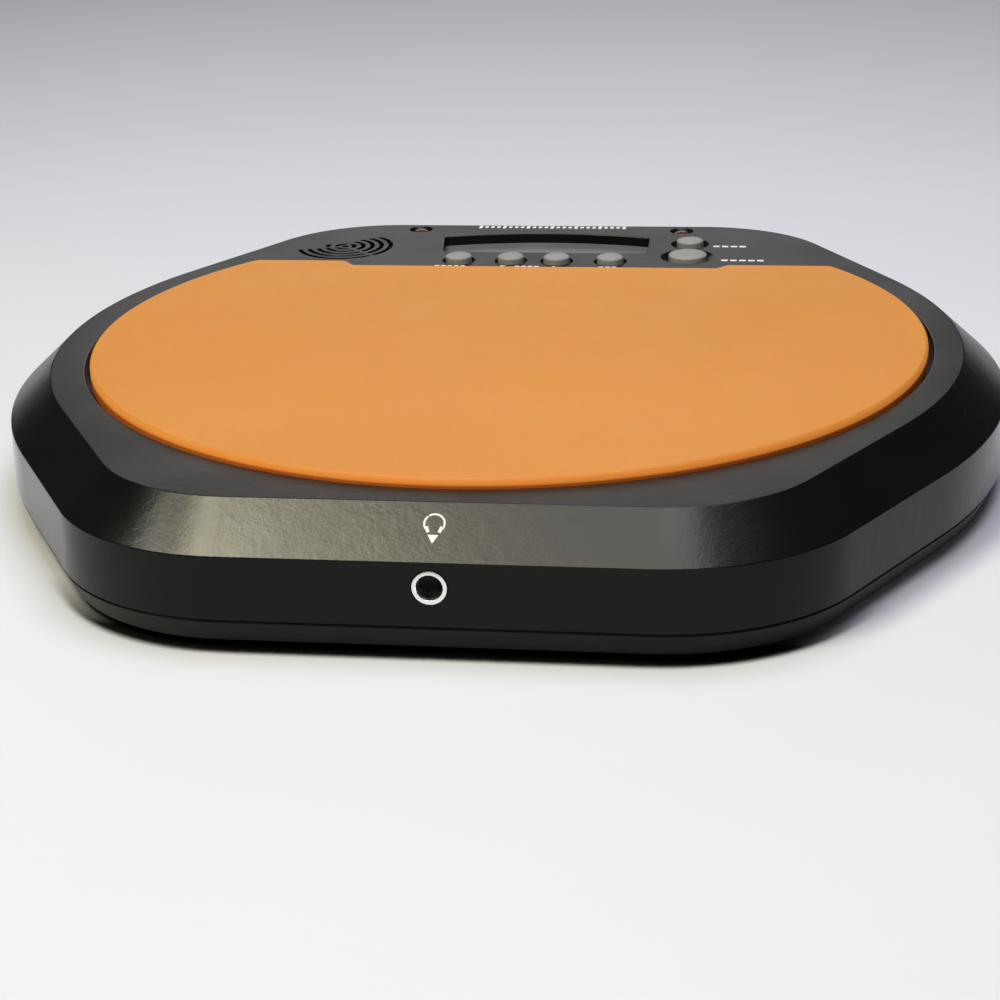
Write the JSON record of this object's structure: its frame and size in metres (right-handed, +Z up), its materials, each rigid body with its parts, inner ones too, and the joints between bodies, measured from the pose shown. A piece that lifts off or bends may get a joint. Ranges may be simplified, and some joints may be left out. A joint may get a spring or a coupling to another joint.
{
  "type": "electronic drum pad",
  "caption": "Hexagonal practice drum pad with a round rubber striking disc, a metronome panel with keys, display and speaker grille along the back, and a headphone jack in the front wall",
  "frame": {"origin": "centre of the case's footprint, on the table", "axes": "+Z up, +Y from the player towards the control panel, +X to the player's right; the headphone jack faces -Y"},
  "size_m": [0.2998, 0.3004, 0.0402],
  "materials": {
    "battery_cells": "printed sleeve over steel can",
    "battery_door": "black moulded plastic, fine grain",
    "battery_plates": "nickel plated",
    "battery_springs": "nickel plated",
    "battery_wires": "insulated wire",
    "beat_key": "grey silicone rubber",
    "beat_pill": "carbon loaded rubber",
    "board_chips": "black epoxy",
    "board_screws": "zinc plated",
    "bottom_cover": "black moulded plastic, fine grain",
    "display_key": "grey silicone rubber",
    "display_pill": "carbon loaded rubber",
    "display_window": "smoked clear plastic",
    "foam_ring": "black foam rubber",
    "housing_screws": "zinc plated",
    "jack_board": "green circuit board",
    "jack_board_screws": "zinc plated",
    "jack_body": "black nylon",
    "jack_contacts": "nickel plated",
    "jack_sleeve": "nickel plated",
    "jack_wires": "insulated wire",
    "key_mat": "grey silicone rubber",
    "lcd_frame": "white plastic",
    "lcd_glass": "liquid crystal panel",
    "left_lamp": "red tinted epoxy",
    "main_board": "green circuit board",
    "mode_key": "grey silicone rubber",
    "mode_pill": "carbon loaded rubber",
    "piezo_brass": "brass disc",
    "piezo_ceramic": "silvered ceramic",
    "piezo_wires": "insulated wire",
    "pole_piece": "zinc plated steel",
    "power_key": "grey silicone rubber",
    "power_pill": "carbon loaded rubber",
    "right_lamp": "red tinted epoxy",
    "rubber_feet": "black rubber",
    "rubber_pad": "orange natural rubber, matt",
    "speaker_basket": "zinc plated steel",
    "speaker_clamps": "zinc plated",
    "speaker_cone": "black pulp paper",
    "speaker_magnet": "ferrite",
    "speaker_surround": "treated cloth roll",
    "speaker_wires": "insulated wire",
    "striking_plate": "mill finish sheet",
    "tempo_down_key": "grey silicone rubber",
    "tempo_down_pill": "carbon loaded rubber",
    "tempo_up_key": "grey silicone rubber",
    "tempo_up_pill": "carbon loaded rubber",
    "top_housing": "dark grey moulded plastic, satin grain",
    "voice_coil": "enamelled copper winding",
    "wire_sockets": "natural nylon",
    "zebra_strips": "striped elastomer"
  },
  "bodies": {
    "case": {"battery_cells": "battery_cells", "battery_plates": "battery_plates", "battery_springs": "battery_springs", "battery_wires": "battery_wires", "board_chips": "board_chips", "board_screws": "board_screws", "bottom_cover": "bottom_cover", "display_window": "display_window", "foam_ring": "foam_ring", "housing_screws": "housing_screws", "jack_board": "jack_board", "jack_board_screws": "jack_board_screws", "jack_body": "jack_body", "jack_contacts": "jack_contacts", "jack_sleeve": "jack_sleeve", "jack_wires": "jack_wires", "key_mat": "key_mat", "lcd_frame": "lcd_frame", "lcd_glass": "lcd_glass", "left_lamp": "left_lamp", "main_board": "main_board", "piezo_wires": "piezo_wires", "pole_piece": "pole_piece", "right_lamp": "right_lamp", "rubber_feet": "rubber_feet", "speaker_basket": "speaker_basket", "speaker_clamps": "speaker_clamps", "speaker_magnet": "speaker_magnet", "speaker_surround": "speaker_surround", "speaker_wires": "speaker_wires", "top_housing": "top_housing", "wire_sockets": "wire_sockets", "zebra_strips": "zebra_strips"},
    "display_button": {"display_key": "display_key", "display_pill": "display_pill"},
    "tempo_down_button": {"tempo_down_key": "tempo_down_key", "tempo_down_pill": "tempo_down_pill"},
    "tempo_up_button": {"tempo_up_key": "tempo_up_key", "tempo_up_pill": "tempo_up_pill"},
    "beat_button": {"beat_key": "beat_key", "beat_pill": "beat_pill"},
    "mode_button": {"mode_key": "mode_key", "mode_pill": "mode_pill"},
    "power_button": {"power_key": "power_key", "power_pill": "power_pill"},
    "strike_surface": {"rubber_pad": "rubber_pad", "striking_plate": "striking_plate", "piezo_brass": "piezo_brass", "piezo_ceramic": "piezo_ceramic"},
    "speaker_diaphragm": {"speaker_cone": "speaker_cone", "voice_coil": "voice_coil"},
    "door": {"battery_door": "battery_door"}
  },
  "joints": [
    {"name": "display_press", "type": "slide", "parent": "case", "child": "display_button", "axis": [0, 0, -1], "range_m": [0, 0.001], "stiffness_N_per_m": 900, "deforming": ["key_mat"]},
    {"name": "tempo_down_press", "type": "slide", "parent": "case", "child": "tempo_down_button", "axis": [0, 0, -1], "range_m": [0, 0.001], "stiffness_N_per_m": 900, "deforming": ["key_mat"]},
    {"name": "tempo_up_press", "type": "slide", "parent": "case", "child": "tempo_up_button", "axis": [0, 0, -1], "range_m": [0, 0.001], "stiffness_N_per_m": 900, "deforming": ["key_mat"]},
    {"name": "beat_press", "type": "slide", "parent": "case", "child": "beat_button", "axis": [0, 0, -1], "range_m": [0, 0.001], "stiffness_N_per_m": 900, "deforming": ["key_mat"]},
    {"name": "mode_press", "type": "slide", "parent": "case", "child": "mode_button", "axis": [0, 0, -1], "range_m": [0, 0.001], "stiffness_N_per_m": 900, "deforming": ["key_mat"]},
    {"name": "power_press", "type": "slide", "parent": "case", "child": "power_button", "axis": [0, 0, -1], "range_m": [0, 0.001], "stiffness_N_per_m": 900, "deforming": ["key_mat"]},
    {"name": "pad_strike", "type": "slide", "parent": "case", "child": "strike_surface", "axis": [0, 0, -1], "range_m": [0, 0.0008], "stiffness_N_per_m": 40000, "deforming": ["foam_ring"]},
    {"name": "speaker_stroke", "type": "slide", "parent": "case", "child": "speaker_diaphragm", "axis": [0, 0, 1], "range_m": [-0.0005, 0.0005], "stiffness_N_per_m": 1000, "deforming": ["speaker_surround"]},
    {"name": "battery_door_hinge", "type": "hinge", "parent": "case", "child": "door", "pos_m": [0, 0.003, 0.0031], "axis": [-1, 0, 0], "range_deg": [0, 90]}
  ]
}
